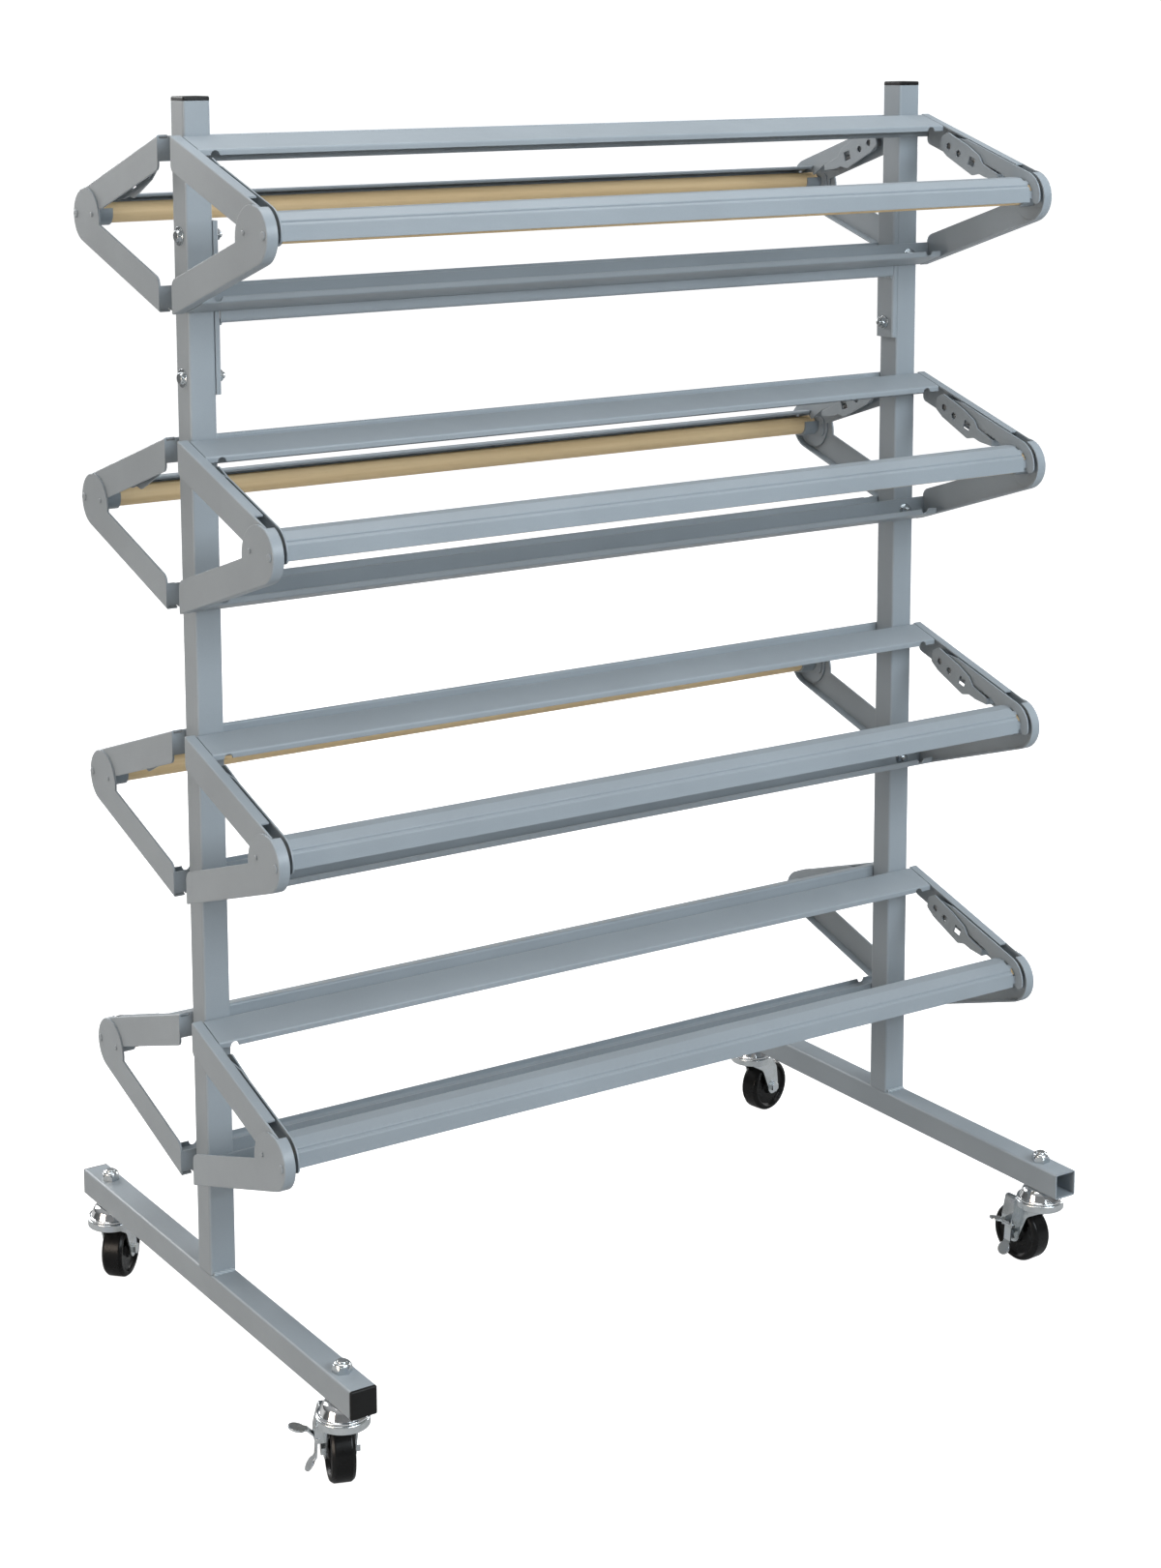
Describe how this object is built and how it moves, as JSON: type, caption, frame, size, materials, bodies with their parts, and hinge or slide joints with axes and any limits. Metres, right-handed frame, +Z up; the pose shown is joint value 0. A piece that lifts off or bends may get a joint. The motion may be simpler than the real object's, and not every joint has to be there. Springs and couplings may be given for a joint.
{
  "type": "mobile roll rack",
  "caption": "Double-sided mobile rack of paper-roll dispensers: wooden rods in open saddles under sprung cutter bars, on a square-tube frame with swivel casters.",
  "frame": {"origin": "on the floor, under the middle of the rack's frame", "axes": "+X along the bars to the right, +Y from the front to the back, +Z up"},
  "size_m": [1.1674, 0.7231, 1.5525],
  "materials": {
    "enamel": "light blue-grey enamel, satin",
    "weld_enamel": "enamel over a weld bead, satin",
    "beech": "plain sanded beech",
    "black_plastic": "black moulded plastic",
    "zinc": "bright zinc plate",
    "polished_cap": "polished plated steel",
    "spring_steel": "drawn wire",
    "black_tyre": "black moulded wheel"
  },
  "bodies": {
    "frame": {"left_upright": "enamel", "right_upright": "enamel", "left_foot": "enamel", "right_foot": "enamel", "tube_plugs": "black_plastic", "stretcher_channel": "enamel", "stretcher_end_channels": "enamel", "frame_bolts": "zinc", "frame_nuts": "zinc", "caster_stems": "zinc", "caster_stem_nuts": "zinc", "caster_raceways": "polished_cap", "upper_cross_bars": "enamel", "lower_cross_bars": "enamel", "upper_arms": "enamel", "lower_arms": "enamel", "tension_brackets": "enamel", "rod_saddles": "enamel", "hub_rivets": "enamel", "pivot_pins": "spring_steel", "tension_springs": "spring_steel", "weld_beads": "weld_enamel"},
    "cutter_front_1": {"cutter_bar_front_1": "enamel", "blade_arms_front_1": "enamel"},
    "rod_front_1": {"roll_rod_front_1": "beech"},
    "cutter_front_2": {"cutter_bar_front_2": "enamel", "blade_arms_front_2": "enamel"},
    "rod_front_2": {"roll_rod_front_2": "beech"},
    "cutter_front_3": {"cutter_bar_front_3": "enamel", "blade_arms_front_3": "enamel"},
    "rod_front_3": {"roll_rod_front_3": "beech"},
    "cutter_front_4": {"cutter_bar_front_4": "enamel", "blade_arms_front_4": "enamel"},
    "rod_front_4": {"roll_rod_front_4": "beech"},
    "cutter_back_1": {"cutter_bar_back_1": "enamel", "blade_arms_back_1": "enamel"},
    "rod_back_1": {"roll_rod_back_1": "beech"},
    "cutter_back_2": {"cutter_bar_back_2": "enamel", "blade_arms_back_2": "enamel"},
    "rod_back_2": {"roll_rod_back_2": "beech"},
    "cutter_back_3": {"cutter_bar_back_3": "enamel", "blade_arms_back_3": "enamel"},
    "rod_back_3": {"roll_rod_back_3": "beech"},
    "cutter_back_4": {"cutter_bar_back_4": "enamel", "blade_arms_back_4": "enamel"},
    "rod_back_4": {"roll_rod_back_4": "beech"},
    "fork_front_left": {"caster_fork_front_left": "zinc", "caster_axle_front_left": "zinc"},
    "wheel_front_left": {"caster_wheel_front_left": "black_tyre"},
    "brake_front_left": {"brake_lever_front_left": "zinc"},
    "fork_back_left": {"caster_fork_back_left": "zinc", "caster_axle_back_left": "zinc"},
    "wheel_back_left": {"caster_wheel_back_left": "black_tyre"},
    "fork_front_right": {"caster_fork_front_right": "zinc", "caster_axle_front_right": "zinc"},
    "wheel_front_right": {"caster_wheel_front_right": "black_tyre"},
    "brake_front_right": {"brake_lever_front_right": "zinc"},
    "fork_back_right": {"caster_fork_back_right": "zinc", "caster_axle_back_right": "zinc"},
    "wheel_back_right": {"caster_wheel_back_right": "black_tyre"}
  },
  "joints": [
    {"name": "cutter_swing_front_1", "type": "hinge", "parent": "frame", "child": "cutter_front_1", "pos_m": [0, -0.081, 1.468], "axis": [-1, 0, 0], "range_deg": [0, 45], "stiffness_Nm_per_rad": 0.8, "springref_deg": -34.38},
    {"name": "rod_turn_front_1", "type": "hinge", "parent": "frame", "child": "rod_front_1", "pos_m": [0, -0.218, 1.41], "axis": [1, 0, 0], "continuous": true},
    {"name": "cutter_swing_front_2", "type": "hinge", "parent": "frame", "child": "cutter_front_2", "pos_m": [0, -0.081, 1.1205], "axis": [-1, 0, 0], "range_deg": [0, 45], "stiffness_Nm_per_rad": 0.8, "springref_deg": -34.38},
    {"name": "rod_turn_front_2", "type": "hinge", "parent": "frame", "child": "rod_front_2", "pos_m": [0, -0.218, 1.0625], "axis": [1, 0, 0], "continuous": true},
    {"name": "cutter_swing_front_3", "type": "hinge", "parent": "frame", "child": "cutter_front_3", "pos_m": [0, -0.081, 0.773], "axis": [-1, 0, 0], "range_deg": [0, 45], "stiffness_Nm_per_rad": 0.8, "springref_deg": -34.38},
    {"name": "rod_turn_front_3", "type": "hinge", "parent": "frame", "child": "rod_front_3", "pos_m": [0, -0.218, 0.715], "axis": [1, 0, 0], "continuous": true},
    {"name": "cutter_swing_front_4", "type": "hinge", "parent": "frame", "child": "cutter_front_4", "pos_m": [0, -0.081, 0.4255], "axis": [-1, 0, 0], "range_deg": [0, 45], "stiffness_Nm_per_rad": 0.8, "springref_deg": -34.38},
    {"name": "rod_turn_front_4", "type": "hinge", "parent": "frame", "child": "rod_front_4", "pos_m": [0, -0.218, 0.3675], "axis": [1, 0, 0], "continuous": true},
    {"name": "cutter_swing_back_1", "type": "hinge", "parent": "frame", "child": "cutter_back_1", "pos_m": [0, 0.081, 1.468], "axis": [1, 0, 0], "range_deg": [0, 45], "stiffness_Nm_per_rad": 0.8, "springref_deg": -34.38},
    {"name": "rod_turn_back_1", "type": "hinge", "parent": "frame", "child": "rod_back_1", "pos_m": [0, 0.218, 1.41], "axis": [1, 0, 0], "continuous": true},
    {"name": "cutter_swing_back_2", "type": "hinge", "parent": "frame", "child": "cutter_back_2", "pos_m": [0, 0.081, 1.1205], "axis": [1, 0, 0], "range_deg": [0, 45], "stiffness_Nm_per_rad": 0.8, "springref_deg": -34.38},
    {"name": "rod_turn_back_2", "type": "hinge", "parent": "frame", "child": "rod_back_2", "pos_m": [0, 0.218, 1.0625], "axis": [1, 0, 0], "continuous": true},
    {"name": "cutter_swing_back_3", "type": "hinge", "parent": "frame", "child": "cutter_back_3", "pos_m": [0, 0.081, 0.773], "axis": [1, 0, 0], "range_deg": [0, 45], "stiffness_Nm_per_rad": 0.8, "springref_deg": -34.38},
    {"name": "rod_turn_back_3", "type": "hinge", "parent": "frame", "child": "rod_back_3", "pos_m": [0, 0.218, 0.715], "axis": [1, 0, 0], "continuous": true},
    {"name": "cutter_swing_back_4", "type": "hinge", "parent": "frame", "child": "cutter_back_4", "pos_m": [0, 0.081, 0.4255], "axis": [1, 0, 0], "range_deg": [0, 45], "stiffness_Nm_per_rad": 0.8, "springref_deg": -34.38},
    {"name": "rod_turn_back_4", "type": "hinge", "parent": "frame", "child": "rod_back_4", "pos_m": [0, 0.218, 0.3675], "axis": [1, 0, 0], "continuous": true},
    {"name": "swivel_front_left", "type": "hinge", "parent": "frame", "child": "fork_front_left", "pos_m": [-0.527, -0.309, 0.0912], "axis": [0, 0, 1], "continuous": true},
    {"name": "roll_front_left", "type": "hinge", "parent": "fork_front_left", "child": "wheel_front_left", "pos_m": [-0.51664, -0.28085, 0.038], "axis": [-0.9385, 0.3453, 0], "continuous": true},
    {"name": "brake_tip_front_left", "type": "hinge", "parent": "fork_front_left", "child": "brake_front_left", "pos_m": [-0.54104, -0.27187, 0.054], "axis": [0.3453, 0.9385, 0], "range_deg": [-8, 12]},
    {"name": "swivel_back_left", "type": "hinge", "parent": "frame", "child": "fork_back_left", "pos_m": [-0.527, 0.309, 0.0912], "axis": [0, 0, 1], "continuous": true},
    {"name": "roll_back_left", "type": "hinge", "parent": "fork_back_left", "child": "wheel_back_left", "pos_m": [-0.50571, 0.33014, 0.038], "axis": [-0.7046, 0.7096, 0], "continuous": true},
    {"name": "swivel_front_right", "type": "hinge", "parent": "frame", "child": "fork_front_right", "pos_m": [0.527, -0.309, 0.0912], "axis": [0, 0, 1], "continuous": true},
    {"name": "roll_front_right", "type": "hinge", "parent": "fork_front_right", "child": "wheel_front_right", "pos_m": [0.52501, -0.27907, 0.038], "axis": [-0.9978, -0.0663, 0], "continuous": true},
    {"name": "brake_tip_front_right", "type": "hinge", "parent": "fork_front_right", "child": "brake_front_right", "pos_m": [0.49907, -0.28079, 0.054], "axis": [-0.0663, 0.9978, 0], "range_deg": [-8, 12]},
    {"name": "swivel_back_right", "type": "hinge", "parent": "frame", "child": "fork_back_right", "pos_m": [0.527, 0.309, 0.0912], "axis": [0, 0, 1], "continuous": true},
    {"name": "roll_back_right", "type": "hinge", "parent": "fork_back_right", "child": "wheel_back_right", "pos_m": [0.5562, 0.3159, 0.038], "axis": [-0.23, 0.9732, 0], "continuous": true}
  ]
}
